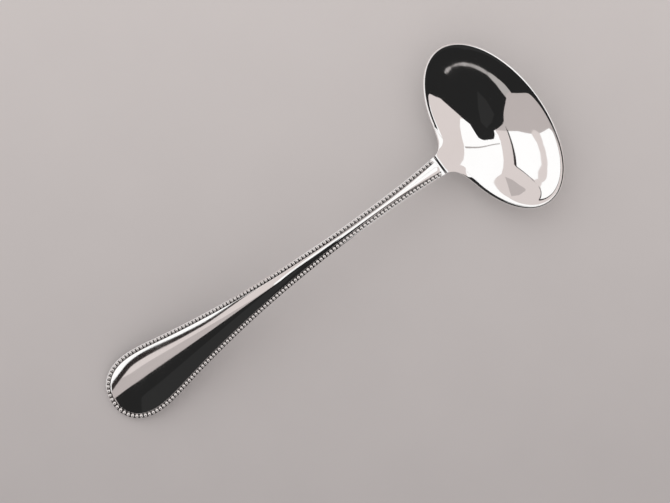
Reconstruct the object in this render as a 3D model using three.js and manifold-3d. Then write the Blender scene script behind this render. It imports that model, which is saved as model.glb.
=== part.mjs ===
// Sauce ladle: a polished oval bowl brazed to an arched, die-struck handle with a bead border.
// Millimetres, +Z up. The origin is the middle of the small flat under the bowl, on which the ladle rests.
// +X runs along the handle towards the bowl, and the ladle is symmetric about the XZ plane.
// Plan positions below are measured from the handle's tip and moved to the origin at the end.

import * as THREE from 'three';
import { mergeVertices } from 'three/addons/utils/BufferGeometryUtils.js';
import Module from 'manifold-3d';

// Handle, in plan
const HANDLE_LENGTH = 137.5;
const TIP_END_LENGTH = 13.5;
const TIP_HALF_WIDTH = 11.36;
const WAIST_HALF_WIDTH = 2.33;
const NECK_HALF_WIDTH = 3.46;
const TIP_ROUNDNESS = 2.2;

// Handle, from the side
const TIP_EDGE_LEVEL = 1.45;
const ARCH_LEVEL = 23.7;
const NECK_LEVEL = 11.7;
const NECK_FALL = 15.4;
const TIP_EDGE_THICKNESS = 1.6;
const WAIST_EDGE_THICKNESS = 2.1;
const NECK_EDGE_THICKNESS = 2.0;
const TIP_BELLY = 0.35;
const WAIST_BELLY = 1.0;
const NECK_BELLY = 1.0;
const UNDER_EDGE_ROUND = 0.3;

// Struck relief on the handle
const EDGE_MARGIN = 0.1;
const EDGE_DROP = 0.22;
const TIP_BEAD = 1.48;
const SIDE_BEAD = 1.29;
const NECK_BEAD = 1.37;
const BEAD_GAP = 0.07;
const BEAD_SIDES = 6;
const BEAD_END_GAP = 1.0;
const LAND_DEPTH = 0.2;
const PANEL_STEP = 0.1;
const TIP_PANEL_RISE = 0.78;
const WAIST_PANEL_RISE = 0.24;
const PANEL_NOSE = 2.0;
const PANEL_NOSE_GAP = 0.6;

// Joint and shoulder
const SEAM_THICKNESS = 0.25;
const SHOULDER_LENGTH = 5.67;
const NECK_BEND = 0.5;
const NECK_BEND_LENGTH = 1.5;
const SHOULDER_BLEND = 12.0;
const SHOULDER_HALF_SPAN = 15.1;
const FILLET_HALF_SPAN = 12.9;
const FILLET_PULL = 3.45;
const FILLET_RIM_PULL = 6.15;
const UNDER_FILLET = 2.4;

// Bowl: semi-axes of the rim's outside, height and tilt of the rim plane, depth and wall
const RIM_ALONG = 16.96;
const RIM_ACROSS = 32.0;
const RIM_HEIGHT = 11.4;
const RIM_PITCH = 14.0;
const RIM_WALL = 1.2;
const FLOOR_WALL = 1.3;
const FOOT_FLAT_DEPTH = 0.12;
const LIP_EDGE = 0.5;
const LIP_ROLL = 0.25;
const WALL_START = 0.75;

const STEEL = { color: 0xd9d9db, roughness: 0.07, metalness: 1.0 };

const wasm = await Module();
wasm.setup();
const { lerp, smoothstep, clamp } = THREE.MathUtils;

// Places and sizes that follow from the values above
const JOINT_X = HANDLE_LENGTH + SEAM_THICKNESS;
const BOWL_CENTRE_X = JOINT_X + SHOULDER_LENGTH + RIM_ALONG;
const RIM_SLOPE = Math.tan(THREE.MathUtils.degToRad(RIM_PITCH));
const rimPlane = (x) => RIM_HEIGHT + (x - BOWL_CENTRE_X) * RIM_SLOPE;
// The handle falls towards the neck, and its lines run on a little way into the shoulder
const NECK_SLOPE = Math.tan(THREE.MathUtils.degToRad(NECK_FALL));
const neckLine = (x) => NECK_LEVEL - NECK_SLOPE * (x - JOINT_X);
const FLOOR_CURVE = 1 / (2 * WALL_START - WALL_START ** 2);
// The tilted bowl's lowest point lies a little on the handle's side of its middle
const OUTER_DEPTH = RIM_HEIGHT + FOOT_FLAT_DEPTH - (RIM_SLOPE * RIM_ALONG) ** 2 / (4 * FLOOR_CURVE * RIM_HEIGHT);
const INNER_DEPTH = OUTER_DEPTH - FLOOR_WALL;
const FOOT_X = BOWL_CENTRE_X - (RIM_SLOPE * RIM_ALONG ** 2) / (2 * FLOOR_CURVE * OUTER_DEPTH);

// Smooth curve through knots, each segment a cubic with three-point slopes
function curveThrough(knots) {
  const n = knots.length;
  const step = (i) => (knots[i + 1][1] - knots[i][1]) / (knots[i + 1][0] - knots[i][0]);
  const slope = knots.map((_, i) => {
    if (i === 0) return step(0);
    if (i === n - 1) return step(n - 2);
    const before = knots[i][0] - knots[i - 1][0];
    const after = knots[i + 1][0] - knots[i][0];
    return (step(i - 1) * after + step(i) * before) / (before + after);
  });
  return (x) => {
    let i = 0;
    while (i < n - 2 && x > knots[i + 1][0]) i += 1;
    const width = knots[i + 1][0] - knots[i][0];
    const t = clamp((x - knots[i][0]) / width, 0, 1);
    const a = 2 * t ** 3 - 3 * t ** 2 + 1;
    const b = t ** 3 - 2 * t ** 2 + t;
    const c = -2 * t ** 3 + 3 * t ** 2;
    const d = t ** 3 - t ** 2;
    return a * knots[i][1] + b * width * slope[i] + c * knots[i + 1][1] + d * width * slope[i + 1];
  };
}

// Outline of the handle's side: wide at the tip, slim at the waist, a little wider again at the neck.
// The first number is the share of the way from the tip end to the neck, the second the share of the taper.
// The knot before the first one lets the sides run smoothly into the round tip.
const taper = curveThrough([[-0.052, 0.933], [0, 1], [0.052, 0.933], [0.113, 0.778], [0.224, 0.518], [0.39, 0.23],
  [0.556, 0.063], [0.722, 0], [0.867, -0.168], [1, -1]]);

function halfWidth(x) {
  const share = taper((x - TIP_END_LENGTH) / (HANDLE_LENGTH - TIP_END_LENGTH));
  if (share > 0) return lerp(WAIST_HALF_WIDTH, TIP_HALF_WIDTH, share);
  return lerp(WAIST_HALF_WIDTH, NECK_HALF_WIDTH, -share);
}

// The handle rises from the tip to the top of its arch and falls again to the neck
const ARCH_SHARE = 0.61;
const onRise = ([share, part]) => [share, lerp(TIP_EDGE_LEVEL, ARCH_LEVEL, part)];
const onFall = ([share, part]) => [share, lerp(NECK_LEVEL, ARCH_LEVEL, part)];
const arch = curveThrough([
  ...[[0, 0], [0.06, 0.0985], [0.15, 0.2677], [0.3, 0.5769], [0.42, 0.8173], [0.52, 0.9559], [ARCH_SHARE, 1]].map(onRise),
  ...[[0.7, 0.8813], [0.8, 0.6267], [0.9, 0.3204], [1, 0]].map(onFall),
]);
const edgeLevel = (x) => arch(x / HANDLE_LENGTH);

const WAIST_SHARE = 0.7;
const edgeThickness = curveThrough([[0, TIP_EDGE_THICKNESS], [WAIST_SHARE * HANDLE_LENGTH, WAIST_EDGE_THICKNESS],
  [HANDLE_LENGTH, NECK_EDGE_THICKNESS]]);
const belly = curveThrough([[0, TIP_BELLY], [WAIST_SHARE * HANDLE_LENGTH, WAIST_BELLY], [HANDLE_LENGTH, NECK_BELLY]]);

// Thickness under the edge level, from the edge to the spine, with q = 0 at the edge and 1 on the spine
const underDepth = (x, q) => edgeThickness(x) + belly(x) * (1 - (1 - q) ** 2);

function geometryFrom(points, triangles) {
  const geometry = new THREE.BufferGeometry();
  geometry.setAttribute('position', new THREE.Float32BufferAttribute(points.flat(), 3));
  geometry.setIndex(triangles.flat());
  return geometry;
}

function solidFrom(geometry) {
  const bare = geometry.clone();
  bare.deleteAttribute('normal');
  bare.deleteAttribute('uv');
  const merged = mergeVertices(bare, 1e-4);
  return new wasm.Manifold(new wasm.Mesh({
    numProp: 3,
    vertProperties: new Float32Array(merged.attributes.position.array),
    triVerts: new Uint32Array(merged.index.array),
  }));
}

function geometryOf(solid) {
  const mesh = solid.getMesh();
  const geometry = new THREE.BufferGeometry();
  geometry.setAttribute('position', new THREE.Float32BufferAttribute(mesh.vertProperties, 3));
  geometry.setIndex(new THREE.Uint32BufferAttribute(mesh.triVerts, 1));
  return geometry;
}

// The tip's round end, from its left side (angle 0) to its right side (angle pi)
function tipOutline(angle) {
  const across = Math.cos(angle);
  const along = Math.sin(angle);
  return [
    TIP_END_LENGTH * (1 - Math.abs(along) ** (2 / TIP_ROUNDNESS)),
    Math.sign(across) * TIP_HALF_WIDTH * Math.abs(across) ** (2 / TIP_ROUNDNESS),
  ];
}

// Near the neck the struck relief runs out in a round nose
function noseFade(x, y) {
  const round = (y / NECK_HALF_WIDTH) ** 2 * PANEL_NOSE;
  const end = HANDLE_LENGTH - PANEL_NOSE_GAP - 0.4 * round;
  return smoothstep(x, end - PANEL_NOSE - 0.6 * round, end);
}

// Struck top from the edge to the spine, as distance in from the edge and height over the edge level:
// the land that carries the beads, a small step, and the domed panel
function topSection(width) {
  const land = EDGE_MARGIN + Math.min(TIP_BEAD, 0.6 * width);
  const start = land + PANEL_STEP;
  const share = (width - WAIST_HALF_WIDTH) / (TIP_HALF_WIDTH - WAIST_HALF_WIDTH);
  const rise = lerp(WAIST_PANEL_RISE, TIP_PANEL_RISE, clamp(share, 0, 1));
  const panel = [0, 0.12, 0.28, 0.46, 0.64, 0.82, 1].map((q) => [
    start + q * (width - start),
    rise * (1 - (1 - q) ** 2),
  ]);
  return [[0, -LAND_DEPTH - EDGE_DROP], [EDGE_MARGIN, -LAND_DEPTH], [land, -LAND_DEPTH], ...panel];
}

// One half section for each station, from the neck's left side round the tip to its right side
function handleStations() {
  const side = [];
  const straight = HANDLE_LENGTH - TIP_END_LENGTH - 2.5 * PANEL_NOSE;
  const steps = 32;
  for (let i = 0; i <= steps; i += 1) side.push(TIP_END_LENGTH + straight * (i / steps) * (0.8 + 0.2 * (i / steps)));
  [0.36, 0.52, 0.66, 0.8, 0.9, 1].forEach((q) => side.push(HANDLE_LENGTH - 2.5 * PANEL_NOSE * (1 - q)));
  const left = side.map((x) => ({ edge: [x, halfWidth(x)], foot: x }));
  const right = side.map((x) => ({ edge: [x, -halfWidth(x)], foot: x }));
  const fan = [];
  const turns = 16;
  for (let i = 1; i < turns; i += 1) fan.push({ edge: tipOutline((Math.PI * i) / turns), foot: TIP_END_LENGTH });
  return [...left.reverse(), ...fan, ...right];
}

function handleGeometry() {
  const points = [];
  const spine = new Map();
  const put = (p) => points.push(p) - 1;
  const putOnSpine = (p, level) => {
    const key = `${level} ${p[0]}`;
    if (!spine.has(key)) spine.set(key, put([p[0], 0, p[2]]));
    return spine.get(key);
  };
  const rings = handleStations().map(({ edge, foot }) => {
    const toward = [foot - edge[0], -edge[1]];
    const width = Math.hypot(...toward);
    const at = (s) => [edge[0] + (toward[0] * s) / width, edge[1] + (toward[1] * s) / width];
    const ring = [putOnSpine([foot, 0, edgeLevel(foot) - underDepth(foot, 1)], 'under')];
    [0.75, 0.5, 0.25, 0.06, 0].forEach((q) => {
      const [x, y] = at(q * width);
      ring.push(put([x, y, edgeLevel(x) - underDepth(x, q) + (q === 0 ? UNDER_EDGE_ROUND : 0)]));
    });
    const section = topSection(width);
    section.slice(0, -1).forEach(([s, lift], i) => {
      const [x, y] = at(s);
      const fade = noseFade(x, y);
      ring.push(put([x, y, edgeLevel(x) + lift * (1 - fade) - (i === 0 ? EDGE_MARGIN * fade : 0)]));
    });
    const crown = section[section.length - 1][1] * (1 - noseFade(foot, 0));
    ring.push(putOnSpine([foot, 0, edgeLevel(foot) + crown], 'top'));
    return ring;
  });

  const triangles = [];
  const add = (a, b, c) => {
    if (a !== b && b !== c && a !== c) triangles.push([a, b, c]);
  };
  for (let i = 0; i + 1 < rings.length; i += 1) {
    for (let k = 0; k + 1 < rings[i].length; k += 1) {
      const [a, b, c, d] = [rings[i][k], rings[i + 1][k], rings[i + 1][k + 1], rings[i][k + 1]];
      add(a, b, c);
      add(a, c, d);
    }
  }
  // The end face at the neck, a fan over the closed section
  const loop = [...rings[0], ...[...rings[rings.length - 1]].reverse().slice(1, -1)];
  const middle = put([HANDLE_LENGTH, 0, NECK_LEVEL - 0.5 * underDepth(HANDLE_LENGTH, 1)]);
  loop.forEach((p, i) => add(middle, p, loop[(i + 1) % loop.length]));
  return geometryFrom(points, triangles);
}

// Bead border: larger beads round the tip, smaller ones along the sides
const beadDiameter = curveThrough([[0, TIP_BEAD], [0.09, lerp(SIDE_BEAD, TIP_BEAD, 0.5)], [0.23, SIDE_BEAD],
  [0.65, SIDE_BEAD], [0.82, NECK_BEAD], [1, NECK_BEAD]]);
const beadAt = (x) => beadDiameter(clamp(x / HANDLE_LENGTH, 0, 1));

function beadLine() {
  const half = [];
  const end = HANDLE_LENGTH - BEAD_END_GAP - NECK_BEAD / 2;
  for (let i = 0; i <= 400; i += 1) {
    const x = lerp(end, TIP_END_LENGTH, i / 400);
    half.push([x, halfWidth(x)]);
  }
  for (let i = 1; i <= 120; i += 1) half.push(tipOutline((Math.PI / 2) * (i / 120)));
  const outline = [...half, ...half.slice(0, -1).reverse().map(([x, y]) => [x, -y])];
  return outline.map(([x, y], i) => {
    const a = outline[Math.max(i - 1, 0)];
    const b = outline[Math.min(i + 1, outline.length - 1)];
    const t = new THREE.Vector2(b[0] - a[0], b[1] - a[1]).normalize();
    const inset = EDGE_MARGIN + beadAt(x) / 2;
    return new THREE.Vector2(x - t.y * inset, y + t.x * inset);
  });
}

function beads() {
  const line = beadLine();
  const count = [0];
  for (let i = 1; i < line.length; i += 1) {
    count.push(count[i - 1] + line[i].distanceTo(line[i - 1]) / (beadAt(line[i].x) + BEAD_GAP));
  }
  const total = count[count.length - 1];
  const spaces = 2 * Math.floor(total / 2);
  const list = [];
  let i = 0;
  for (let k = 0; k <= spaces; k += 1) {
    const target = (total * k) / spaces;
    while (i < line.length - 2 && count[i + 1] < target) i += 1;
    const t = clamp((target - count[i]) / (count[i + 1] - count[i]), 0, 1);
    const p = line[i].clone().lerp(line[i + 1], t);
    list.push({ x: p.x, y: p.y, turn: line[i + 1].clone().sub(line[i]).angle(), radius: beadAt(p.x) / 2 });
  }
  return list;
}

// One bead: a faceted dome whose foot lies inside the land
function beadGeometry({ x, y, turn, radius }) {
  const sunk = -LAND_DEPTH - 0.2 * radius;
  const points = [];
  const put = (px, py, lift) => points.push([px, py, edgeLevel(clamp(px, 0, HANDLE_LENGTH)) + lift]) - 1;
  [[radius, sunk], [0.8 * radius, 0.45 * radius]].forEach(([r, lift]) => {
    for (let i = 0; i < BEAD_SIDES; i += 1) {
      const angle = turn + ((i + 0.5) * 2 * Math.PI) / BEAD_SIDES;
      put(x + r * Math.cos(angle), y + r * Math.sin(angle), lift);
    }
  });
  const foot = put(x, y, sunk);
  const crown = put(x, y, 0.9 * radius);
  const triangles = [];
  for (let i = 0; i < BEAD_SIDES; i += 1) {
    const next = (i + 1) % BEAD_SIDES;
    triangles.push([foot, next, i], [i, next, BEAD_SIDES + next]);
    triangles.push([i, BEAD_SIDES + next, BEAD_SIDES + i], [crown, BEAD_SIDES + i, BEAD_SIDES + next]);
  }
  return geometryFrom(points, triangles);
}

function handleSolid() {
  return beads().reduce((solid, bead) => solid.add(solidFrom(beadGeometry(bead))), solidFrom(handleGeometry()));
}

// Bowl: an inner and an outer surface over one plan, both measured down from the rim plane.
// The depth law is 1 in the middle and 0 at the rim: a round floor, then a straight wall that runs on beyond the rim.
function depthLaw(r) {
  return r <= WALL_START ? 1 - FLOOR_CURVE * r * r : 2 * FLOOR_CURVE * WALL_START * (1 - r);
}

const softMax = (a, b, soft) => 0.5 * (a + b + Math.sqrt((a - b) ** 2 + soft * soft));
const innerRadius = (x, y) => Math.hypot((x - BOWL_CENTRE_X) / (RIM_ALONG - RIM_WALL), y / (RIM_ACROSS - RIM_WALL));
const outerRadius = (x, y) => Math.hypot((x - BOWL_CENTRE_X) / RIM_ALONG, y / RIM_ACROSS);

// How much of the shoulder there is at a point: 1 in line with the neck, 0 along the rim's sides and far end
function shoulder(x, y) {
  return x < BOWL_CENTRE_X ? smoothstep(SHOULDER_HALF_SPAN - Math.abs(y), 0, 0.67 * SHOULDER_HALF_SPAN) : 0;
}

const neckDepth = (y) => underDepth(HANDLE_LENGTH, 1 - Math.min(Math.abs(y) / NECK_HALF_WIDTH, 1));

// On the handle's side the inner wall runs straight on up to the neck and bends over into it
function bowlTop(x, y) {
  const part = shoulder(x, y);
  const depth = INNER_DEPTH * depthLaw(innerRadius(x, y));
  const wall = rimPlane(x) - lerp(softMax(depth, 0, LIP_ROLL), depth, part);
  const bent = -softMax(-wall, -neckLine(x), NECK_BEND);
  const neck = lerp(neckLine(x), bent, smoothstep(x - JOINT_X, 0, NECK_BEND_LENGTH));
  return lerp(wall, neck, part * (1 - smoothstep(x - JOINT_X, 0.7 * SHOULDER_LENGTH, 1.4 * SHOULDER_LENGTH)));
}

function bowlUnder(x, y) {
  const part = shoulder(x, y);
  const edge = lerp(LIP_EDGE, rimPlane(x) - neckLine(x) + neckDepth(y), part);
  const fillet = smoothstep(x - JOINT_X, 0, SHOULDER_LENGTH) * smoothstep(JOINT_X + SHOULDER_BLEND - x, 0, SHOULDER_LENGTH);
  return rimPlane(x) - softMax(OUTER_DEPTH * depthLaw(outerRadius(x, y)), edge, 0.1 + UNDER_FILLET * part * fillet);
}

// Plan outline of the bowl's left half: neck face, fillet, then the rim's oval to its far end
function bowlOutlineHalf() {
  const half = [0, 0.35, 0.7].map((q) => [JOINT_X, q * NECK_HALF_WIDTH]);
  const from = Math.asin(FILLET_HALF_SPAN / RIM_ACROSS);
  const onRim = (angle) => [BOWL_CENTRE_X - RIM_ALONG * Math.cos(angle), RIM_ACROSS * Math.sin(angle)];
  const meet = new THREE.Vector2(...onRim(from));
  const rimWay = new THREE.Vector2(RIM_ALONG * Math.sin(from), RIM_ACROSS * Math.cos(from)).normalize();
  const fillet = new THREE.CubicBezierCurve(
    new THREE.Vector2(JOINT_X, NECK_HALF_WIDTH),
    new THREE.Vector2(JOINT_X + FILLET_PULL, NECK_HALF_WIDTH + 0.18 * FILLET_PULL),
    meet.clone().addScaledVector(rimWay, -FILLET_RIM_PULL),
    meet,
  );
  fillet.getPoints(8).forEach((p) => half.push([p.x, p.y]));
  const steps = 22;
  for (let i = 1; i <= steps; i += 1) half.push(onRim(lerp(from, Math.PI, i / steps)));
  half[half.length - 1][1] = 0;
  return half;
}

function bowlGeometry() {
  const half = bowlOutlineHalf();
  const outline = [...half, ...half.slice(1, -1).reverse().map(([x, y]) => [x, -y])];
  const points = [];
  const put = (x, y, z) => points.push([x, y, z]) - 1;
  const topMiddle = put(BOWL_CENTRE_X, 0, bowlTop(BOWL_CENTRE_X, 0));
  const underMiddle = put(BOWL_CENTRE_X, 0, bowlUnder(BOWL_CENTRE_X, 0));
  const spokes = outline.map(([px, py]) => {
    const at = (q) => [lerp(BOWL_CENTRE_X, px, q), py * q];
    // Up the inside to the lip, over the lip or the shoulder, then back under
    const inner = 1 / innerRadius(px, py);
    const outer = Math.min(1 / outerRadius(px, py), 0.97);
    const up = [0.18, 0.36, 0.52, 0.66, 0.78, 0.87, 0.94, 0.98, 1].map((r) => r * inner);
    const over = [0.25, 0.5, 0.75, 0.88, 1].map((r) => lerp(inner, 1, r));
    const under = [1, 0.8, 0.6, 0.4, 0.2].map((r) => lerp(outer, 1, r));
    const down = [1, 0.985, 0.95, 0.88, 0.78, 0.66, 0.52, 0.36, 0.27, 0.18, 0.09].map((r) => r * outer);
    return [
      ...[...up, ...over].map((q) => put(...at(q), bowlTop(...at(q)))),
      ...[...under, ...down].map((q) => put(...at(q), bowlUnder(...at(q)))),
    ];
  });
  const triangles = [];
  spokes.forEach((spoke, j) => {
    const next = spokes[(j + 1) % spokes.length];
    triangles.push([topMiddle, next[0], spoke[0]]);
    for (let k = 0; k + 1 < spoke.length; k += 1) {
      triangles.push([spoke[k], next[k], next[k + 1]], [spoke[k], next[k + 1], spoke[k + 1]]);
    }
    triangles.push([underMiddle, spoke[spoke.length - 1], next[spoke.length - 1]]);
  });
  return geometryFrom(points, triangles);
}

// The foot is ground flat where the bowl would touch the table at a point
function bowlSolid() {
  const below = new THREE.BoxGeometry(4 * RIM_ACROSS, 4 * RIM_ACROSS, RIM_HEIGHT);
  below.translate(BOWL_CENTRE_X, 0, -RIM_HEIGHT / 2);
  return solidFrom(bowlGeometry()).subtract(solidFrom(below));
}

// Brazing filler between the neck and the shoulder, with the neck's own section
function seamGeometry() {
  const shape = new THREE.Shape();
  const corner = NECK_LEVEL - EDGE_MARGIN;
  const heel = NECK_LEVEL - NECK_EDGE_THICKNESS + UNDER_EDGE_ROUND;
  shape.moveTo(-NECK_HALF_WIDTH, corner);
  shape.lineTo(-NECK_HALF_WIDTH, heel);
  [-0.94, -0.75, -0.5, -0.25, 0, 0.25, 0.5, 0.75, 0.94].forEach((q) => {
    shape.lineTo(q * NECK_HALF_WIDTH, NECK_LEVEL - neckDepth(q * NECK_HALF_WIDTH));
  });
  shape.lineTo(NECK_HALF_WIDTH, heel);
  shape.lineTo(NECK_HALF_WIDTH, corner);
  shape.lineTo(NECK_HALF_WIDTH - EDGE_MARGIN, NECK_LEVEL);
  shape.lineTo(EDGE_MARGIN - NECK_HALF_WIDTH, NECK_LEVEL);
  const geometry = new THREE.ExtrudeGeometry(shape, { depth: SEAM_THICKNESS, bevelEnabled: false });
  geometry.applyMatrix4(new THREE.Matrix4().makeBasis(
    new THREE.Vector3(0, 1, 0), new THREE.Vector3(0, 0, 1), new THREE.Vector3(1, 0, 0)));
  geometry.translate(HANDLE_LENGTH, 0, 0);
  return geometry;
}

function meshOf(name, geometry) {
  const mesh = new THREE.Mesh(geometry, new THREE.MeshStandardMaterial(STEEL));
  mesh.name = name;
  return mesh;
}

const ladle = new THREE.Group();
ladle.name = 'sauce_ladle';
const fromTip = new THREE.Group();
fromTip.position.x = -FOOT_X;
fromTip.add(meshOf('bowl', geometryOf(bowlSolid())));
fromTip.add(meshOf('handle', geometryOf(handleSolid())));
fromTip.add(meshOf('braze_seam', seamGeometry()));
ladle.add(fromTip);

export default ladle;
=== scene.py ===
# Sauce ladle in mirror-polished steel, lying on a pale table under soft studio light.
# Sizes are in millimetres in the values below and become metres when they are used.
# Places along the ladle are measured from the handle's tip and moved to the CAD origin under the bowl.

import math

import bpy
import numpy as np
from mathutils import Matrix, Vector


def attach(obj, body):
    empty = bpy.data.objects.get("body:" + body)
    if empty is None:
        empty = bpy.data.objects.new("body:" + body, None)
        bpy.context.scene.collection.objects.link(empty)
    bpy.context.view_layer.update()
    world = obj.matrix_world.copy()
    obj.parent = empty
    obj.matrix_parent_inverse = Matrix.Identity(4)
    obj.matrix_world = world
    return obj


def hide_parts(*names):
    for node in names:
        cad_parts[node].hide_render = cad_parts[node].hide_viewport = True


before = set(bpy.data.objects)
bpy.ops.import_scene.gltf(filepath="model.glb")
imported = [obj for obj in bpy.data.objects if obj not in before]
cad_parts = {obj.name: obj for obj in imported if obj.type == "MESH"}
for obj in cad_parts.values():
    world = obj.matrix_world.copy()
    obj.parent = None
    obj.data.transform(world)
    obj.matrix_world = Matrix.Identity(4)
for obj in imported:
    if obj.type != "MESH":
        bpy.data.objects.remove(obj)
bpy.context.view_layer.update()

MM = 0.001
FOOT_X = 157.365

# Handle in plan
HANDLE_LENGTH = 137.5
TIP_END_LENGTH = 13.5
TIP_HALF_WIDTH = 11.355
WAIST_HALF_WIDTH = 2.33
NECK_HALF_WIDTH = 3.455
TIP_ROUNDNESS = 2.2

# Handle from the side
TIP_EDGE_LEVEL = 1.45
ARCH_LEVEL = 23.69
NECK_LEVEL = 11.7
NECK_FALL = math.tan(math.radians(15.4))
TIP_CLIMB = 0.25
TIP_EDGE_THICKNESS = 1.4
WAIST_EDGE_THICKNESS = 2.1
NECK_EDGE_THICKNESS = 2.0
TIP_BELLY = 0.35
WAIST_BELLY = 1.0
UNDER_EDGE_ROUND = 0.3

# Struck top of the handle
EDGE_MARGIN = 0.1
EDGE_DROP = 0.22
LAND_DEPTH = 0.2
PANEL_STEP = 0.12
TIP_PANEL_RISE = 0.54
WAIST_PANEL_RISE = 0.18
NOSE_LENGTH = 1.6
NOSE_END_GAP = 0.15
TIP_BEAD = 1.48
SIDE_BEAD = 1.29
NECK_BEAD = 1.37
BEAD_GAP = 0.07
BEAD_EASE = 0.045
BEAD_END_GAP = 1.0
BEAD_CUT = 0.36
BEAD_SINK = 0.1

# Joint, shoulder and bowl
SEAM_THICKNESS = 0.25
SHOULDER_LENGTH = 4.86
SHOULDER_BEND = 1.0
SHOULDER_BLEND = 12.0
SHOULDER_HALF_SPAN = 12.8
FILLET_PULL = 3.45
FILLET_RIM_PULL = 6.15
UNDER_FILLET = 2.4
RIM_ALONG = 17.35
RIM_ACROSS = 31.97
RIM_HEIGHT = 11.39
RIM_PITCH = math.radians(13.0)
RIM_WALL = 1.2
INNER_DEPTH = 7.9
FOOT_FLAT_DEPTH = 0.12
LIP_EDGE = 0.5
LIP_ROLL = 0.25
LIP_ROUND = 0.85
NECK_ROUND = 0.15
RIM_BAND = 6.6
RIM_FLARE = 0.3
NECK_WALL_START = 0.74
NECK_LIFT = 1.2
NECK_LIFT_LENGTH = 12.0
UNDER_WALL_START = 0.75
UNDER_STEP = 0.06
UNDER_SOFT = 0.1
WALL_TURN = 8
SHOULDER_FADE = 0.67
FILLET_SWEEP = 0.18

# Places that follow from the sizes
JOINT_X = HANDLE_LENGTH + SEAM_THICKNESS
BOWL_X = JOINT_X + SHOULDER_LENGTH + RIM_ALONG
RIM_SLOPE = math.tan(RIM_PITCH)
FLOOR_CURVE = 1 / (2 * UNDER_WALL_START - UNDER_WALL_START ** 2)
OUTER_DEPTH = RIM_HEIGHT + FOOT_FLAT_DEPTH - (RIM_SLOPE * RIM_ALONG) ** 2 / (4 * FLOOR_CURVE * RIM_HEIGHT)

# Camera straight above the ladle, with the photograph's turn
CAMERA_PLACE = Vector((-0.06508, -0.0026, 0.5142))
VIEW_RIGHT = Vector((0.80742, -0.58998, 0.0))
VIEW_AWAY = Vector((0.58998, 0.80742, 0.0))
FOCAL = 1500
LENS = FOCAL / 670 * 36


def lerp(a, b, t):
    return a + (b - a) * t


def smoothstep(x, low, high):
    t = np.clip((x - low) / (high - low), 0, 1)
    return t * t * (3 - 2 * t)


def fair_curve(knots, start_slope=None, end_slope=None):
    """Curve through knots whose bend never jumps, so that a reflection runs along it without a kink."""
    x, y = np.array(knots, float).T
    h = np.diff(x)
    n = len(x)
    rows = np.zeros((n, n))
    right = np.zeros(n)
    for i in range(1, n - 1):
        rows[i, i - 1:i + 2] = h[i - 1], 2 * (h[i - 1] + h[i]), h[i]
        right[i] = 6 * ((y[i + 1] - y[i]) / h[i] - (y[i] - y[i - 1]) / h[i - 1])
    rows[0, 0] = rows[-1, -1] = 1
    if start_slope is not None:
        rows[0, :2] = 2 * h[0], h[0]
        right[0] = 6 * ((y[1] - y[0]) / h[0] - start_slope)
    if end_slope is not None:
        rows[-1, -2:] = h[-1], 2 * h[-1]
        right[-1] = 6 * (end_slope - (y[-1] - y[-2]) / h[-1])
    bend = np.linalg.solve(rows, right)

    def at(v):
        v = np.clip(np.asarray(v, float), x[0], x[-1])
        i = np.clip(np.searchsorted(x, v, side="right") - 1, 0, n - 2)
        a, b, w = x[i + 1] - v, v - x[i], h[i]
        return (bend[i] * a ** 3 + bend[i + 1] * b ** 3) / (6 * w) + (y[i] / w - bend[i] * w / 6) * a + (
            y[i + 1] / w - bend[i + 1] * w / 6) * b

    return at


# Outline of the handle's side and its arch, as shares of its length and of its taper or height
taper = fair_curve([[0, 1], [0.052, 0.933], [0.113, 0.778], [0.224, 0.518], [0.39, 0.23], [0.556, 0.063],
                    [0.722, 0], [0.867, -0.168], [1, -1]], start_slope=0)
RISE_KNOTS = [[0, 0], [0.06, 0.0985], [0.15, 0.2677], [0.3, 0.5769], [0.42, 0.8173], [0.52, 0.9559],
              [0.61, 1]]
FALL_KNOTS = [[0.7, 0.8813], [0.8, 0.6267], [0.9, 0.3204], [1, 0]]
arch = fair_curve(
    [[HANDLE_LENGTH * s, lerp(TIP_EDGE_LEVEL, ARCH_LEVEL, p)] for s, p in RISE_KNOTS]
    + [[HANDLE_LENGTH * s, lerp(NECK_LEVEL, ARCH_LEVEL, p)] for s, p in FALL_KNOTS],
    start_slope=TIP_CLIMB, end_slope=-NECK_FALL)
edge_thickness = fair_curve([[0, TIP_EDGE_THICKNESS], [0.7 * HANDLE_LENGTH, WAIST_EDGE_THICKNESS],
                             [HANDLE_LENGTH, NECK_EDGE_THICKNESS]])
belly = fair_curve([[0, TIP_BELLY], [0.7 * HANDLE_LENGTH, WAIST_BELLY], [HANDLE_LENGTH, WAIST_BELLY]])
bead_size = fair_curve([[0, TIP_BEAD], [0.09, (TIP_BEAD + SIDE_BEAD) / 2], [0.23, SIDE_BEAD],
                        [0.65, SIDE_BEAD], [0.82, NECK_BEAD], [1, NECK_BEAD]])


def half_width(x):
    share = taper((np.asarray(x, float) - TIP_END_LENGTH) / (HANDLE_LENGTH - TIP_END_LENGTH))
    slim = np.where(share > 0, TIP_HALF_WIDTH - WAIST_HALF_WIDTH, NECK_HALF_WIDTH - WAIST_HALF_WIDTH)
    return WAIST_HALF_WIDTH + np.abs(share) * slim


def tip_outline(angle):
    """The round end of the tip, from its side (0) to its far point (a quarter turn)."""
    power = 2 / TIP_ROUNDNESS
    x = TIP_END_LENGTH * (1 - np.abs(np.sin(angle)) ** power)
    return x, TIP_HALF_WIDTH * np.abs(np.cos(angle)) ** power


def bead_at(x):
    return bead_size(np.asarray(x, float) / HANDLE_LENGTH)


def under_depth(x, q):
    """Thickness under the edge level, with q = 0 at the edge and 1 on the spine."""
    return edge_thickness(x) + belly(x) * (1 - (1 - q) ** 2)


# Blender helpers

def deselect_all():
    bpy.ops.object.select_all(action="DESELECT")


def take(piece):
    deselect_all()
    piece.select_set(True)
    bpy.context.view_layer.objects.active = piece


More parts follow.
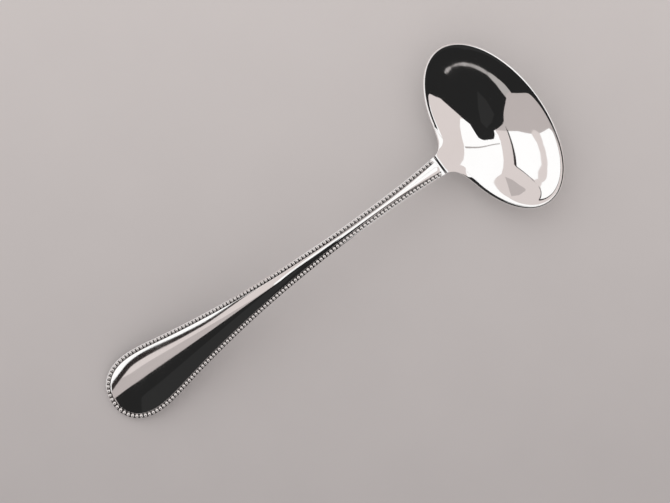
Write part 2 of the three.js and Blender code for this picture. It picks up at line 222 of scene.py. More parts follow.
def edit(piece, select="SELECT"):
    take(piece)
    bpy.ops.object.mode_set(mode="EDIT")
    bpy.ops.mesh.select_mode(type="VERT")
    bpy.ops.mesh.select_all(action=select)


def done_editing():
    bpy.ops.object.mode_set(mode="OBJECT")


def points_of(piece):
    flat = np.empty(len(piece.data.vertices) * 3)
    piece.data.vertices.foreach_get("co", flat)
    return flat.reshape(-1, 3)


def set_points(piece, points):
    piece.data.vertices.foreach_set("co", np.ascontiguousarray(points, float).ravel())
    piece.data.update()


def select_points(piece, chosen):
    piece.data.vertices.foreach_set("select", chosen)
    piece.data.edges.foreach_set("select", np.zeros(len(piece.data.edges), bool))
    piece.data.polygons.foreach_set("select", np.zeros(len(piece.data.polygons), bool))


def apply_modifiers(piece):
    take(piece)
    for modifier in list(piece.modifiers):
        bpy.ops.object.modifier_apply(modifier=modifier.name)


def weld(piece, distance=1e-7):
    edit(piece)
    bpy.ops.mesh.remove_doubles(threshold=distance)
    bpy.ops.mesh.normals_make_consistent(inside=False)
    done_editing()


def smooth(piece, degrees):
    take(piece)
    bpy.ops.object.shade_smooth_by_angle(angle=math.radians(degrees))


def grid_sheet(name, columns, rows):
    """A plain grid, with each point's column and row number."""
    deselect_all()
    bpy.ops.mesh.primitive_grid_add(x_subdivisions=columns - 1, y_subdivisions=rows - 1, size=2)
    sheet = bpy.context.object
    sheet.name = sheet.data.name = name
    place = points_of(sheet)
    column = np.rint((place[:, 0] + 1) / 2 * (columns - 1)).astype(int)
    row = np.rint((place[:, 1] + 1) / 2 * (rows - 1)).astype(int)
    return sheet, column, row


# Bowl: rings pulled out of a small circle, up the inside, over the lip and down the outside

SPOKES = 320
NECK_SPOKES = 4
FILLET_SPOKES = 21
SPOKE = 2 * math.pi / SPOKES
INSIDE_RINGS = 46
LIP_RINGS = 16
ROUND_RINGS = 7
UNDER_RINGS = 9
OUTSIDE_RINGS = 38
OUTSIDE_START = 0.988
NECK_OUTSIDE_START = 0.97

# Places and shares for summing up a slope
LAW_PLACES, LAW_SHARES = np.polynomial.legendre.leggauss(40)


def climb(r, wall_start, flare):
    """Height gained from the middle out to r: a round floor, then a wall that flares towards the rim."""
    v = r[..., None] * (LAW_PLACES + 1) / 2
    wall_start, flare = wall_start[..., None], flare[..., None]
    straight = v / (1 + (v / wall_start) ** WALL_TURN) ** (1 / WALL_TURN)
    slope = straight * (1 - flare * smoothstep(v, wall_start, 1))
    return r * (slope @ LAW_SHARES) / 2


def soft_max(a, b, soft):
    return 0.5 * (a + b + np.sqrt((a - b) ** 2 + soft * soft))


def rim_plane(x):
    return RIM_HEIGHT + (x - BOWL_X) * RIM_SLOPE


def inner_radius(x, y):
    return np.hypot((x - BOWL_X) / (RIM_ALONG - RIM_WALL), y / (RIM_ACROSS - RIM_WALL))


def outer_radius(x, y):
    return np.hypot((x - BOWL_X) / RIM_ALONG, y / RIM_ACROSS)


def inner_depth(x, y):
    """Depth under the rim plane; the wall towards the handle is straight, the rest has the flared band."""
    along, across = (x - BOWL_X) / (RIM_ALONG - RIM_WALL), y / (RIM_ACROSS - RIM_WALL)
    r = np.maximum(np.hypot(along, across), 1e-9)
    length = np.maximum(np.hypot(x - BOWL_X, y), 1e-9) / r
    neck = smoothstep(-along / r, 0.2, 1)
    wall_start = lerp(1 - RIM_BAND / np.maximum(length, 10), NECK_WALL_START, neck)
    flare = RIM_FLARE * (1 - neck)
    return INNER_DEPTH * (1 - climb(r, wall_start, flare) / climb(np.ones_like(r), wall_start, flare))


def shoulder(x, y):
    """1 at the neck, 0 along the rim's sides."""
    return np.where(x < BOWL_X, smoothstep(1 - np.abs(y) / SHOULDER_HALF_SPAN, 0, SHOULDER_FADE), 0)


def neck_line(x):
    return NECK_LEVEL - NECK_FALL * (x - JOINT_X)


def neck_depth(y):
    return under_depth(HANDLE_LENGTH, 1 - np.minimum(np.abs(y) / NECK_HALF_WIDTH, 1))


def bowl_top(x, y):
    part = shoulder(x, y)
    depth = inner_depth(x, y)
    wall = rim_plane(x) - lerp(soft_max(depth, 0, LIP_ROLL), depth, part)
    wall = wall + NECK_LIFT * part * np.maximum((JOINT_X - x) / NECK_LIFT_LENGTH + 1, 0) ** 2
    return lerp(wall, neck_line(x), part * (1 - smoothstep(x - JOINT_X, 0, SHOULDER_BEND)))


def outer_depth(r):
    base = LIP_EDGE + UNDER_STEP
    return base + (OUTER_DEPTH - base) * np.where(
        r <= UNDER_WALL_START, 1 - FLOOR_CURVE * r * r, 2 * FLOOR_CURVE * UNDER_WALL_START * (1 - r))


def bowl_under(x, y):
    part = shoulder(x, y)
    edge = lerp(LIP_EDGE, rim_plane(x) - neck_line(x) + neck_depth(y), part)
    fillet = (smoothstep(x - JOINT_X, 0, SHOULDER_LENGTH)
              * smoothstep(JOINT_X + SHOULDER_BLEND - x, 0, SHOULDER_LENGTH))
    soft = UNDER_SOFT + UNDER_FILLET * part * fillet
    return rim_plane(x) - soft_max(outer_depth(outer_radius(x, y)), edge, soft)


def ring_table():
    """Each ring's kind, its own measure, its two half lengths and its depth under the rim plane."""
    rings = []
    for k in range(1, INSIDE_RINGS + 1):
        r = math.sin(math.pi / 2 * k / INSIDE_RINGS)
        depth = INNER_DEPTH * (1 - r * r)
        rings.append(("inside", r, (RIM_ALONG - RIM_WALL) * r, (RIM_ACROSS - RIM_WALL) * r, depth))
    for k in range(1, LIP_RINGS + 1):
        w = lerp(RIM_WALL, LIP_ROUND, k / LIP_RINGS)
        rings.append(("lip", w, RIM_ALONG - w, RIM_ACROSS - w, 0.0))
    for k in range(1, ROUND_RINGS + 1):
        turn = math.pi / 2 * k / ROUND_RINGS
        w = LIP_ROUND * (1 - math.sin(turn))
        depth = LIP_EDGE * (1 - math.cos(turn))
        rings.append(("round", w, RIM_ALONG - w, RIM_ACROSS - w, depth))
    for k in range(UNDER_RINGS):
        r = lerp(1, OUTSIDE_START, k / (UNDER_RINGS - 1))
        depth = soft_max(outer_depth(r), LIP_EDGE, UNDER_SOFT)
        rings.append(("under", k / (UNDER_RINGS - 1), RIM_ALONG * r, RIM_ACROSS * r, float(depth)))
    for k in range(1, OUTSIDE_RINGS):
        r = OUTSIDE_START * math.cos(math.pi / 2 * k / OUTSIDE_RINGS)
        depth = soft_max(outer_depth(r), LIP_EDGE, UNDER_SOFT)
        rings.append(("outside", r, RIM_ALONG * r, RIM_ACROSS * r, float(depth)))
    return rings


def pull_rings(rings):
    _, _, along, across, depth = rings[0]
    deselect_all()
    bpy.ops.mesh.primitive_circle_add(vertices=SPOKES, radius=1, rotation=(0, -RIM_PITCH, 0))
    bowl = bpy.context.object
    bowl.name = bowl.data.name = "bowl_polished"
    bowl.scale = (along / math.cos(RIM_PITCH) * MM, across * MM, 1)
    bowl.location = ((BOWL_X - FOOT_X) * MM, 0, (RIM_HEIGHT - depth) * MM)
    bpy.ops.object.transform_apply(location=True, rotation=True, scale=True)
    edit(bowl)
    for (_, _, a0, b0, d0), (_, _, a1, b1, d1) in zip(rings, rings[1:]):
        bpy.ops.mesh.extrude_region_move(TRANSFORM_OT_translate={"value": (0, 0, (d0 - d1) * MM)})
        centre = ((BOWL_X - FOOT_X) * MM, 0, (RIM_HEIGHT - d1) * MM)
        bpy.ops.transform.resize(value=(a1 / a0, b1 / b0, a1 / a0), center_override=centre)
    done_editing()
    return bowl


def shoulder_outline(turn):
    """Plan outline by spoke turn from the handle's side: the neck's end, then the fillet up to the rim."""
    side, turn = np.sign(turn), np.abs(turn)
    neck_turn, rim_turn = NECK_SPOKES * SPOKE, FILLET_SPOKES * SPOKE
    meet = np.array([BOWL_X - RIM_ALONG * math.cos(rim_turn), RIM_ACROSS * math.sin(rim_turn)])
    way = np.array([RIM_ALONG * math.sin(rim_turn), RIM_ACROSS * math.cos(rim_turn)])
    way /= np.hypot(*way)
    pulls = [np.array([JOINT_X, NECK_HALF_WIDTH]),
             np.array([JOINT_X + FILLET_PULL, NECK_HALF_WIDTH + FILLET_SWEEP * FILLET_PULL]),
             meet - way * FILLET_RIM_PULL, meet]
    u = np.clip((turn - neck_turn) / (rim_turn - neck_turn), 0, 1)[:, None]
    curve = ((1 - u) ** 3 * pulls[0] + 3 * u * (1 - u) ** 2 * pulls[1] + 3 * u ** 2 * (1 - u) * pulls[2]
             + u ** 3 * pulls[3])
    on_neck = turn < neck_turn
    across = NECK_HALF_WIDTH * turn[on_neck] / neck_turn
    curve[on_neck] = np.stack([np.full_like(across, JOINT_X), across], 1)
    curve[:, 1] *= side
    return curve, np.where(on_neck, 0, lerp(NECK_ROUND, LIP_EDGE, smoothstep(u[:, 0], 0, 1)))


def draw_shoulder(bowl, rings):
    """Draws the rim on the handle's side out to the neck."""
    points = points_of(bowl) / MM
    x, y = points[:, 0] + FOOT_X, points[:, 1]
    ring = np.repeat(np.arange(len(rings)), SPOKES)
    along = np.array([r[2] for r in rings])[ring]
    across = np.array([r[3] for r in rings])[ring]
    kinds = np.array([r[0] for r in rings])[ring]
    measure = np.array([r[1] for r in rings])[ring]
    turn = np.arctan2(y / across, (BOWL_X - x) / along)
    near = np.abs(turn) < (FILLET_SPOKES - 0.5) * SPOKE
    edge, edge_round = shoulder_outline(turn)
    reach = edge - np.array([BOWL_X, 0])
    length = np.hypot(reach[:, 0], reach[:, 1])
    inner = 1 / inner_radius(edge[:, 0], edge[:, 1])
    outer = np.minimum(1 / outer_radius(edge[:, 0], edge[:, 1]), NECK_OUTSIDE_START)
    over = 1 - edge_round / length
    q = np.select(
        [kinds == "inside", kinds == "lip", kinds == "round", kinds == "under"],
        [measure * inner, lerp(over, inner, (measure - LIP_ROUND) / (RIM_WALL - LIP_ROUND)),
         lerp(1, over, measure / LIP_ROUND), lerp(1, outer, measure)],
        measure / OUTSIDE_START * outer)
    nx, ny = BOWL_X + reach[:, 0] * q, reach[:, 1] * q
    rounding = np.where(kinds == "round", edge_round * (1 - np.sqrt(1 - (1 - measure / LIP_ROUND) ** 2)), 0)
    on_top = (kinds == "inside") | (kinds == "lip") | (kinds == "round")
    nz = np.where(on_top, bowl_top(nx, ny) - rounding, bowl_under(nx, ny))
    points[near] = np.stack([nx - FOOT_X, ny, nz], 1)[near]
    shaped = ~near & ((kinds == "inside") | (kinds == "lip"))
    points[shaped, 2] = bowl_top(x, y)[shaped]
    set_points(bowl, points * MM)


def close_ring(bowl, first):
    chosen = np.zeros(len(bowl.data.vertices), bool)
    chosen[first:first + SPOKES] = True
    edit(bowl, "DESELECT")
    done_editing()
    select_points(bowl, chosen)
    bpy.ops.object.mode_set(mode="EDIT")
    bpy.ops.mesh.select_mode(type="VERT")
    bpy.ops.mesh.extrude_region_move()
    bpy.ops.mesh.merge(type="CENTER")
    done_editing()


def make_bowl():
    rings = ring_table()
    bowl = pull_rings(rings)
    draw_shoulder(bowl, rings)
    close_ring(bowl, 0)
    close_ring(bowl, (len(rings) - 1) * SPOKES)
    weld(bowl)
    # The foot is ground flat where the bowl would touch the table at a point
    edit(bowl)
    bpy.ops.mesh.bisect(plane_co=(0, 0, 0), plane_no=(0, 0, 1), use_fill=True, clear_inner=True,
                        threshold=1e-7)
    done_editing()
    weld(bowl)
    smooth(bowl, 50)
    return bowl


# Handle: one half as a sheet of sections from the neck round to the tip's far point, then mirrored

SIDE_STATIONS = 190
NOSE_STATIONS = 40
NOSE_STRETCH = 6.0
TIP_STATIONS = 56
UNDER_SHARES = np.array([1, 0.92, 0.84, 0.75, 0.66, 0.57, 0.48, 0.39, 0.3, 0.22, 0.15, 0.09])
EDGE_TURNS = np.linspace(0, math.pi / 2, 6)
PANEL_SHARES = np.linspace(0, 1, 31)
SLOPE_STEP = 0.2


def handle_stations():
    """Edge points in plan from the neck to the end of the tip, and where each section's spine lies."""
    nose = np.linspace(HANDLE_LENGTH, HANDLE_LENGTH - NOSE_STRETCH, NOSE_STATIONS)
    side = np.linspace(HANDLE_LENGTH - NOSE_STRETCH, TIP_END_LENGTH, SIDE_STATIONS)[1:]
    x = np.concatenate([nose, side])
    turn = np.linspace(0, math.pi / 2, TIP_STATIONS)[1:]
    tip_x, tip_y = tip_outline(turn)
    tip_y[-1] = 0
    edge = np.stack([np.concatenate([x, tip_x]), np.concatenate([half_width(x), tip_y])], 1)
    return edge, np.concatenate([x, np.full(len(turn), TIP_END_LENGTH)])


def nose_fade(x, y):
    """1 on the struck top, 0 beyond the round nose in which it ends at the neck."""
    end = HANDLE_LENGTH - NOSE_END_GAP - 0.5 * (y / NECK_HALF_WIDTH) ** 2 * NOSE_LENGTH
    return 1 - smoothstep(x, end - NOSE_LENGTH * (0.8 + 0.5 * (y / NECK_HALF_WIDTH) ** 2), end)


def make_handle_blank():
    edge, spine = handle_stations()
    toward = np.stack([spine - edge[:, 0], -edge[:, 1]], 1)
    width = np.hypot(toward[:, 0], toward[:, 1])
    toward /= width[:, None]
    land = EDGE_MARGIN + bead_at(edge[:, 0])
    start = land + PANEL_STEP
    share = np.clip((width - WAIST_HALF_WIDTH) / (TIP_HALF_WIDTH - WAIST_HALF_WIDTH), 0, 1)
    rise = lerp(WAIST_PANEL_RISE, TIP_PANEL_RISE, share)
    wall_low = -edge_thickness(edge[:, 0]) + UNDER_EDGE_ROUND
    wall_high = -LAND_DEPTH - EDGE_DROP
    # Each row: distance in from the edge, height over the edge level, and which side it belongs to
    rows = []
    for q in UNDER_SHARES:
        rows.append((q * width, None, q))
    for turn in EDGE_TURNS:
        s = UNDER_EDGE_ROUND * (1 - math.sin(turn))
        rows.append((np.full_like(width, s), -UNDER_EDGE_ROUND * math.cos(turn), "wall"))
    rows.append((np.zeros_like(width), 0.5, "between"))
    for turn in EDGE_TURNS:
        s = EDGE_MARGIN * (1 - math.cos(turn))
        rows.append((np.full_like(width, s), wall_high + EDGE_DROP * math.sin(turn), "top"))
    for part in (0.3, 0.65, 1):
        rows.append((lerp(EDGE_MARGIN, land, part), -LAND_DEPTH, "top"))
    for part in (0.2, 0.4, 0.6, 0.8):
        rows.append((lerp(land, start, part), -LAND_DEPTH * (1 - smoothstep(part, 0, 1)), "top"))
    for q in PANEL_SHARES:
        rows.append((lerp(start, width, q), rise * (1 - (1 - q) ** 2), "top"))
    blank, column, row = grid_sheet("handle_polished", len(edge), len(rows))
    points = np.empty((len(column), 3))
    painted_shade = np.zeros(len(column))
    for k, (s, lift, kind) in enumerate(rows):
        x = edge[:, 0] + toward[:, 0] * s
        y = edge[:, 1] + toward[:, 1] * s
        level = arch(x)
        if lift is None:
            z = level - under_depth(x, kind)
        elif kind == "wall":
            z = level + wall_low + lift
        elif kind == "between":
            z = level + lerp(wall_low, wall_high, lift)
        else:
            z = level + lift * nose_fade(x, y) - (1 - nose_fade(x, y)) * NECK_ROUND * (s < EDGE_MARGIN / 2)
        chosen = row == k
        points[chosen] = np.stack([x - FOOT_X, y, z], 1)[column[chosen]]
        # Weights for the painted shade on the sunk land between the beads
        if kind == "top" and np.isscalar(lift) and lift == -LAND_DEPTH:
            painted_shade[chosen] = nose_fade(x, y)[column[chosen]]
    points[np.abs(points[:, 1]) < 1e-6, 1] = 0
    set_points(blank, points * MM)
    # The painted-shade weights go to the steel as a point attribute
    blank.data.attributes.new("land_painted_shade", "FLOAT", "POINT").data.foreach_set("value", painted_shade)
    weld(blank, 2e-8)
    mirror = blank.modifiers.new("other half", "MIRROR")
    mirror.use_axis = (False, True, False)
    mirror.merge_threshold = 1e-6
    apply_modifiers(blank)
    # The end face at the neck
    edit(blank, "DESELECT")
    bpy.ops.mesh.select_non_manifold()
    bpy.ops.mesh.edge_face_add()
    done_editing()
    weld(blank)
    smooth(blank, 40)
    return blank


def bead_line():
    """Middle line of the bead border in plan, from the neck's left end round the tip to its right end."""
    end = HANDLE_LENGTH - BEAD_END_GAP - NECK_BEAD / 2
    x = np.linspace(end, TIP_END_LENGTH, 401)
    tip_x, tip_y = tip_outline(np.linspace(0, math.pi / 2, 121)[1:])
    half = np.stack([np.concatenate([x, tip_x]), np.concatenate([half_width(x), tip_y])], 1)
    half[-1, 1] = 0
    line = np.concatenate([half, half[-2::-1] * [1, -1]])
    way = np.gradient(line, axis=0)
    way /= np.hypot(way[:, 0], way[:, 1])[:, None]
    inset = EDGE_MARGIN + bead_at(line[:, 0]) / 2
    return line + np.stack([-way[:, 1], way[:, 0]], 1) * inset[:, None]


def bead_places():
    line = bead_line()
    step = np.hypot(*np.diff(line, axis=0).T)
    count = np.concatenate([[0], np.cumsum(step / (bead_at(line[1:, 0]) + BEAD_GAP))])
    spaces = 2 * math.floor(count[-1] / 2)
    at = np.linspace(0, count[-1], spaces + 1)
    return np.stack([np.interp(at, count, line[:, 0]), np.interp(at, count, line[:, 1])], 1)


def make_bead():
    """One bead: a ball cut off below, where it sits in the land."""
    deselect_all()
    bpy.ops.mesh.primitive_uv_sphere_add(segments=12, ring_count=9, radius=1)
    bead = bpy.context.object
    edit(bead)
    bpy.ops.mesh.bisect(plane_co=(0, 0, -BEAD_CUT), plane_no=(0, 0, 1), use_fill=True, clear_inner=True)
    done_editing()
    smooth(bead, 60)
    return bead


def make_handle():
    handle = make_handle_blank()
    bead = make_bead()
    beads = []
    for x, y in bead_places():
        radius = float(bead_at(x)) / 2 - BEAD_EASE
        slope = float(arch(x + SLOPE_STEP) - arch(x - SLOPE_STEP)) / (2 * SLOPE_STEP)
        copy = bead.copy()
        copy.data = bead.data.copy()
        bpy.context.collection.objects.link(copy)
        centre = Vector((x - FOOT_X, y, float(arch(x)) - BEAD_SINK * radius)) * MM
        copy.data.transform(Matrix.Translation(centre) @ Matrix.Rotation(-math.atan(slope), 4, "Y")
                            @ Matrix.Scale(radius * MM, 4))
        beads.append(copy)
    bpy.data.objects.remove(bead)
    deselect_all()
    for copy in beads:
        copy.select_set(True)
    handle.select_set(True)
    bpy.context.view_layer.objects.active = handle
    bpy.ops.object.join()
    return handle


# Brazing filler between the neck and the shoulder, ground flush

def make_seam():
    sides = np.linspace(-1, 1, 25)
    low = [(NECK_HALF_WIDTH * q, NECK_LEVEL - float(neck_depth(NECK_HALF_WIDTH * q))) for q in sides[1:-1]]
    heel = NECK_LEVEL - NECK_EDGE_THICKNESS + UNDER_EDGE_ROUND
    corner = NECK_LEVEL - NECK_ROUND
    loop = [(-NECK_HALF_WIDTH, corner), (-NECK_HALF_WIDTH, heel), *low,
            (NECK_HALF_WIDTH, heel), (NECK_HALF_WIDTH, corner),
            (NECK_HALF_WIDTH - NECK_ROUND, NECK_LEVEL), (NECK_ROUND - NECK_HALF_WIDTH, NECK_LEVEL)]
    deselect_all()
    bpy.ops.mesh.primitive_circle_add(vertices=len(loop), radius=1, fill_type="NGON")
    seam = bpy.context.object
    seam.name = seam.data.name = "braze_seam_polished"
    set_points(seam, np.array([(HANDLE_LENGTH - FOOT_X, y, z) for y, z in loop]) * MM)
    edit(seam)
    bpy.ops.mesh.extrude_region_move(TRANSFORM_OT_translate={"value": (SEAM_THICKNESS * MM, 0, 0)})
    done_editing()
    weld(seam)
    smooth(seam, 30)
    return seam


# Materials

def node(tree, kind, **sockets):
    made = tree.nodes.new(kind)
    for name, value in sockets.items():
        made.inputs[name.replace("_", " ")].default_value = value
    return made


def polished_steel():
    made = bpy.data.materials.new("polished_steel")
    made.use_nodes = True
    tree = made.node_tree
    shader = tree.nodes["Principled BSDF"]
    shader.inputs["Metallic"].default_value = 1.0
    place = node(tree, "ShaderNodeTexCoord")
    haze = node(tree, "ShaderNodeTexNoise", Scale=70.0, Detail=5.0, Roughness=0.6)
    tree.links.new(place.outputs["Object"], haze.inputs["Vector"])
    rough = node(tree, "ShaderNodeMapRange", From_Min=0.35, From_Max=0.7, To_Min=0.02, To_Max=0.05)
    tree.links.new(haze.outputs["Fac"], rough.inputs["Value"])
    tree.links.new(rough.outputs["Result"], shader.inputs["Roughness"])
    tone = tree.nodes.new("ShaderNodeValToRGB")
    tone.color_ramp.elements[0].color = (0.9, 0.885, 0.875, 1)
    tone.color_ramp.elements[1].color = (0.95, 0.945, 0.94, 1)
    tree.links.new(haze.outputs["Fac"], tone.inputs["Fac"])
    # Painted shade: the sunk land between the beads is painted nearly black, standing in for the shade that
    # falls between them
    painted_shade = tree.nodes.new("ShaderNodeAttribute")
    painted_shade.attribute_name = "land_painted_shade"
    painted_shade_mix = tree.nodes.new("ShaderNodeMixRGB")
    painted_shade_mix.inputs["Color2"].default_value = (0.09, 0.085, 0.083, 1)
    tree.links.new(painted_shade.outputs["Fac"], painted_shade_mix.inputs["Fac"])
    tree.links.new(tone.outputs["Color"], painted_shade_mix.inputs["Color1"])
    tree.links.new(painted_shade_mix.outputs["Color"], shader.inputs["Base Color"])
    return made


def table_top():
    made = bpy.data.materials.new("table_top")
    made.use_nodes = True
    tree = made.node_tree
    shader = tree.nodes["Principled BSDF"]
    shader.inputs["Roughness"].default_value = 0.6
    shader.inputs["Specular IOR Level"].default_value = 0.2
    place = node(tree, "ShaderNodeTexCoord")
    # Painted shade: the table's colour is lighter away from the viewer and darker towards them, standing in
    # for light that falls off; the mottle on top is its own random tone
    away = tree.nodes.new("ShaderNodeVectorMath")
    away.operation = "DOT_PRODUCT"
    away.inputs[1].default_value = VIEW_AWAY
    tree.links.new(place.outputs["Object"], away.inputs[0])
    painted_falloff = node(tree, "ShaderNodeMapRange", From_Min=-0.14, From_Max=0.06, To_Min=0.03, To_Max=0.97)
    tree.links.new(away.outputs["Value"], painted_falloff.inputs["Value"])
    mottle = node(tree, "ShaderNodeTexNoise", Scale=38.0, Detail=4.0)
    tree.links.new(place.outputs["Object"], mottle.inputs["Vector"])
    mix = tree.nodes.new("ShaderNodeMath")
    mix.operation = "MULTIPLY_ADD"
    mix.inputs[1].default_value = 0.16
    tree.links.new(mottle.outputs["Fac"], mix.inputs[0])
    tree.links.new(painted_falloff.outputs["Result"], mix.inputs[2])
    tone = tree.nodes.new("ShaderNodeValToRGB")
    tone.color_ramp.elements[0].color = (0.520, 0.522, 0.526, 1)
    tone.color_ramp.elements[1].color = (0.730, 0.732, 0.730, 1)
    tree.links.new(mix.outputs["Value"], tone.inputs["Fac"])
    tree.links.new(tone.outputs["Color"], shader.inputs["Base Color"])
    return made


def glow(name, colour, strength=1.0):
    made = bpy.data.materials.new(name)
    made.use_nodes = True
    tree = made.node_tree
    tree.nodes.clear()
    light = node(tree, "ShaderNodeEmission", Color=(*colour, 1), Strength=strength)
    out = tree.nodes.new("ShaderNodeOutputMaterial")
    tree.links.new(light.outputs["Emission"], out.inputs["Surface"])
    return made


# Studio: panels, strips and a dark cloth that only the polished steel sees

STUDIO_RADIUS = 4.0
STUDIO_CENTRE = Vector((0.003, 0.0, 0.008))

# Distances from the middle, as shares of the radius, so that each sheet covers those behind it
LOW_BACK = 1.03
WALLS = 1.02
PANELS = 1.0
FRAMES = 0.985
CLOTH = 0.96
FOLD = 0.95


def toward_studio(bearing, overhead, radius=STUDIO_RADIUS):
    """A place by its bearing (0 right in the picture, 90 away from the viewer) and angle from overhead."""
    b, o = math.radians(bearing), math.radians(overhead)
    flat = VIEW_RIGHT * math.cos(b) + VIEW_AWAY * math.sin(b)
    return STUDIO_CENTRE + (flat * math.sin(o) + Vector((0, 0, math.cos(o)))) * radius


def only_in_reflections(card, material):
    card.data.materials.append(material)
    card.visible_camera = False
    card.visible_diffuse = False
    card.visible_shadow = False


def panel(name, corners, material, near):
    """A sheet between corners, curved round the ladle so that none of it comes nearer than its edge."""
    deselect_all()
    bpy.ops.mesh.primitive_circle_add(vertices=len(corners), radius=1, fill_type="NGON")
    card = bpy.context.object
    card.name = card.data.name = name
    set_points(card, np.array([toward_studio(*c) for c in corners]))
    edit(card)
    bpy.ops.mesh.poke()
    bpy.ops.mesh.subdivide(number_cuts=9)
    done_editing()
    reach = points_of(card) - np.array(STUDIO_CENTRE)
    reach *= STUDIO_RADIUS * near / np.linalg.norm(reach, axis=1)[:, None]
    set_points(card, reach + np.array(STUDIO_CENTRE))
    only_in_reflections(card, material)


def strip(name, middle, widths, material, near):
    """A narrow sheet along a line through places given by bearing and angle, each with its width."""
    card, column, row = grid_sheet(name, len(middle), 2)
    points = [toward_studio(*c, STUDIO_RADIUS * near) for c in middle]
    out = np.empty((len(column), 3))
    for i, (c, r) in enumerate(zip(column, row)):
        way = points[min(c + 1, len(points) - 1)] - points[max(c - 1, 0)]
        across = way.cross(points[c] - STUDIO_CENTRE).normalized()
        half = STUDIO_RADIUS * near * math.tan(math.radians(widths[c] / 2))
        out[i] = points[c] + across * (half if r else -half)
    set_points(card, out)
    only_in_reflections(card, material)


# Edges that the bowl mirrors, picked in a close-up of the photograph. The close-up's corner
# and the picture's middle are in picture pixels
PICTURE_MIDDLE = np.array([334.5, 251.0])
CLOSE_UP_CORNER = np.array([400.0, 30.0])
CLOSE_UP_SCALE = 8.042
PIXEL_CENTRE = 0.5
RIGHT_PANEL_NEAR_SIDE = [(790, 850), (808, 910), (822, 980), (830, 1050), (826, 1110), (812, 1160),
                         (760, 1205)]
RIGHT_PANEL_NECK_SIDE = [(485, 1095), (508, 1045), (515, 980), (510, 920), (492, 850), (480, 780), (482, 712)]
PANEL_SEAM = [(522, 945), (560, 946), (600, 947), (640, 945), (680, 938), (720, 929), (760, 921), (800, 916)]
LEFT_PANEL_FRAME = [(862, 815), (885, 880), (905, 950), (918, 1020), (925, 1095)]
LEFT_PANEL_LOW_FRAME = [(980, 1135), (1030, 1175)]
LEFT_PANEL_LOW_SIDE = [(1140, 1230), (1105, 1140)]
LEFT_PANEL_FAR_SIDE = [(1118, 1060), (1120, 980), (1110, 900), (1088, 820)]
LEFT_PANEL_FAR_SIDE_AGAIN = [(1165, 1120), (1175, 1020), (1165, 940), (1140, 850)]
FAR_WALL_TOP = [(840, 1180), (900, 1205), (960, 1250), (1010, 1290)]
# The edges are traced from an eye this far above the camera
EYE_RISE = 1.282
TRACE_STEPS = 80
TRACE_SHARE = 0.6
TRACE_GAP = 0.02


def mirrored(places, near):
    """Bearing and angle of what the bowl mirrors at places of the close-up, on a sheet at that distance."""
    picture = CLOSE_UP_CORNER + np.array(places) / CLOSE_UP_SCALE - PIXEL_CENTRE
    right, down = ((picture - PICTURE_MIDDLE) / FOCAL).T[:, :, None]
    ray = right * np.array(VIEW_RIGHT) - down * np.array(VIEW_AWAY) - np.array([0, 0, 1.0])
    eye = np.array(CAMERA_PLACE) / MM + [FOOT_X, 0, EYE_RISE]
    reach = np.full(len(places), eye[2] - RIM_HEIGHT / 2)
    for _ in range(TRACE_STEPS):
        x, y, z = (eye + ray * reach[:, None]).T
        reach = reach + TRACE_SHARE * (z - bowl_top(x, y))
    slope_x = (bowl_top(x + TRACE_GAP, y) - bowl_top(x - TRACE_GAP, y)) / (2 * TRACE_GAP)
    slope_y = (bowl_top(x, y + TRACE_GAP) - bowl_top(x, y - TRACE_GAP)) / (2 * TRACE_GAP)
    upright = np.stack([-slope_x, -slope_y, np.ones_like(x)], 1)
    upright /= np.linalg.norm(upright, axis=1)[:, None]
    ray /= np.linalg.norm(ray, axis=1)[:, None]
    bounce = ray - 2 * np.sum(ray * upright, axis=1)[:, None] * upright
    start = np.stack([x - FOOT_X, y, z], 1) * MM - np.array(STUDIO_CENTRE)
    along = np.sum(start * bounce, axis=1)
    radius = STUDIO_RADIUS * near
    far = np.sqrt(along ** 2 - np.sum(start ** 2, axis=1) + radius ** 2) - along
    card = (start + far[:, None] * bounce) / radius
    bearing = np.degrees(np.arctan2(card @ np.array(VIEW_AWAY), card @ np.array(VIEW_RIGHT))) % 360
    return np.stack([bearing, np.degrees(np.arccos(card[:, 2]))], 1)


# Bearing and angle from overhead of the cloth's lower edge
CLOTH_EDGE = [(0, 34), (2, 30), (6.5, 21), (20, 20.5), (38, 21), (53, 14), (66, 9.7), (90, 6.8), (120, 6.2),
              (157, 8), (188, 14), (209, 20.6), (213, 40), (215, 53.5), (217, 63), (218.5, 71),
              (219.7, 77.6), (223.3, 76.8), (227.6, 75.8), (234, 72.8), (243, 66.3), (249, 62),
              (255, 57.8), (262, 53.8), (269, 50.3), (275, 47.9), (285, 44.5), (294, 42.4), (304, 41.3),
              (311, 44.6), (318, 48), (330, 52), (345, 51), (352, 47), (356, 45.4), (358, 40), (360, 34)]


def dark_cloth(material):
    columns, rows = 361, 24
    card, column, row = grid_sheet("dark_cloth", columns, rows)
    bearings = np.linspace(0, 360, columns)
    known = np.array(CLOTH_EDGE, float)
    reach = np.interp(bearings, known[:, 0], known[:, 1])
    places = [toward_studio(bearings[c], reach[c] * r / (rows - 1), STUDIO_RADIUS * CLOTH)
              for c, r in zip(column, row)]
    set_points(card, np.array(places))
    only_in_reflections(card, material)


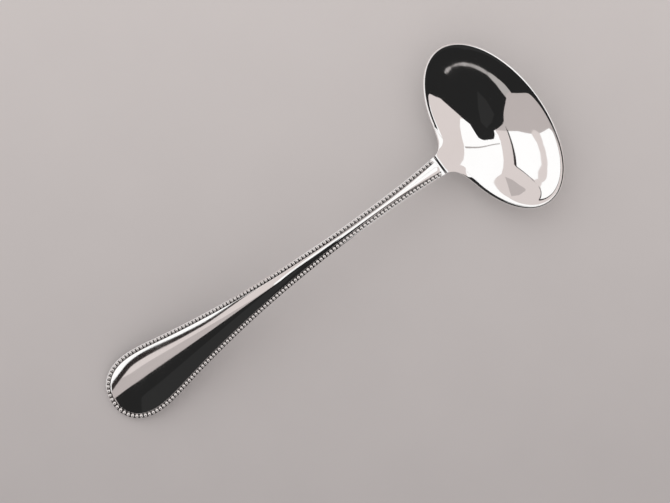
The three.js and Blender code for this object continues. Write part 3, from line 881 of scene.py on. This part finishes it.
def make_studio():
    white = glow("white_panel", (1.0, 1.0, 1.0), 1.08)
    grey = glow("grey_wall", (0.52, 0.47, 0.46))
    line = glow("grey_seam", (0.45, 0.42, 0.41))
    dark = glow("dark_frame", (0.03, 0.025, 0.024))
    cloth = glow("dark_cloth", (0.019, 0.019, 0.019))
    fold = glow("cloth_fold", (0.029, 0.029, 0.029))
    low = glow("low_back", (0.46, 0.435, 0.425))
    near_side = mirrored(RIGHT_PANEL_NEAR_SIDE, PANELS)
    neck_side = mirrored(RIGHT_PANEL_NECK_SIDE, PANELS)
    panel("right_panel", [(340, 14), (209.4, 24), *near_side, (61, 54.5), (57, 62), (54, 71), (54, 89.5),
                          (41.5, 89.5), (40.5, 78), *neck_side], white, PANELS)
    frame_line = mirrored(LEFT_PANEL_FRAME, FRAMES)
    low_line = mirrored(LEFT_PANEL_LOW_FRAME, FRAMES)
    low_side = mirrored(LEFT_PANEL_LOW_SIDE, PANELS)
    # The band under the rim mirrors the far side twice, so the middle of both is taken
    far_side = (mirrored(LEFT_PANEL_FAR_SIDE, PANELS) + mirrored(LEFT_PANEL_FAR_SIDE_AGAIN, PANELS)) / 2
    panel("left_panel", [*frame_line, *low_line, (155, 46.6), *low_side, *far_side, (207.3, 64)],
          white, PANELS)
    wall_top = mirrored(FAR_WALL_TOP, WALLS)
    panel("far_wall", [*wall_top, (127, 48), (116, 60), (97, 62), (84, 54)], grey, WALLS)
    panel("left_wall", [(209, 20), (208, 34), frame_line[0], (207.3, 64), far_side[-1], (209, 80), (221, 80),
                        (220, 64), (216, 46), (213, 30)], grey, WALLS)
    panel("low_back", [(219, 50), (219, 90), (240, 90), (262, 90), (284, 90), (306, 90), (325, 90), (325, 36),
                       (300, 33), (270, 42), (245, 55)], low, LOW_BACK)
    seam_line = mirrored(PANEL_SEAM, FRAMES)
    strip("panel_seam", seam_line, [1.1, 1.1, 1.1, 1.0, 0.9, 0.8, 0.8, 0.8], line, FRAMES)
    strip("panel_frame", [(212, 50.5), *frame_line], [0.4, 1.5, 1.8, 2.1, 2.4, 2.4], dark, FRAMES)
    strip("low_frame", [frame_line[-1], *low_line, (152, 46)], [1.4, 1.1, 0.9, 0.7], dark, FRAMES)
    dark_cloth(cloth)
    panel("cloth_fold", [(222, 46), (221, 34), (221, 22), (224, 10), (262, 10), (254, 24), (249, 36),
                         (246, 48), (234, 50)], fold, FOLD)


def make_light():
    world = bpy.data.worlds.new("studio")
    bpy.context.scene.world = world
    world.use_nodes = True
    world.node_tree.nodes["Background"].inputs["Color"].default_value = (0.74, 0.672, 0.655, 1)
    world.node_tree.nodes["Background"].inputs["Strength"].default_value = 1.0
    lamp_data = bpy.data.lights.new("soft_lamp", "AREA")
    lamp_data.shape = "DISK"
    lamp_data.size = 1.2
    lamp_data.energy = 1.2
    lamp = bpy.data.objects.new("soft_lamp", lamp_data)
    bpy.context.collection.objects.link(lamp)
    lamp.location = toward_studio(120, 40, 1.2)
    lamp.rotation_euler = (STUDIO_CENTRE - lamp.location).to_track_quat("-Z", "Y").to_euler()
    lamp.visible_glossy = False
    lamp.visible_camera = False


def make_table():
    deselect_all()
    bpy.ops.mesh.primitive_plane_add(size=8, location=(0, 0, 0))
    table = bpy.context.object
    table.name = table.data.name = "table"
    table.data.materials.append(table_top())


def make_camera():
    data = bpy.data.cameras.new("camera")
    data.lens = LENS
    data.sensor_width = 36
    data.clip_end = 20
    camera = bpy.data.objects.new("camera", data)
    bpy.context.collection.objects.link(camera)
    back = Vector((0, 0, 1))
    turn = Matrix((VIEW_RIGHT, VIEW_AWAY, back)).transposed()
    camera.matrix_world = Matrix.Translation(CAMERA_PLACE) @ turn.to_4x4()
    bpy.context.scene.camera = camera


make_camera()
steel = polished_steel()
for piece, stands_for in ((make_bowl(), "bowl"), (make_handle(), "handle"), (make_seam(), "braze_seam")):
    piece.data.materials.clear()
    piece.data.materials.append(steel)
    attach(piece, "root")
    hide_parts(stands_for)
make_table()
make_studio()
make_light()
deselect_all()

bpy.context.scene.view_settings.view_transform = "Standard"
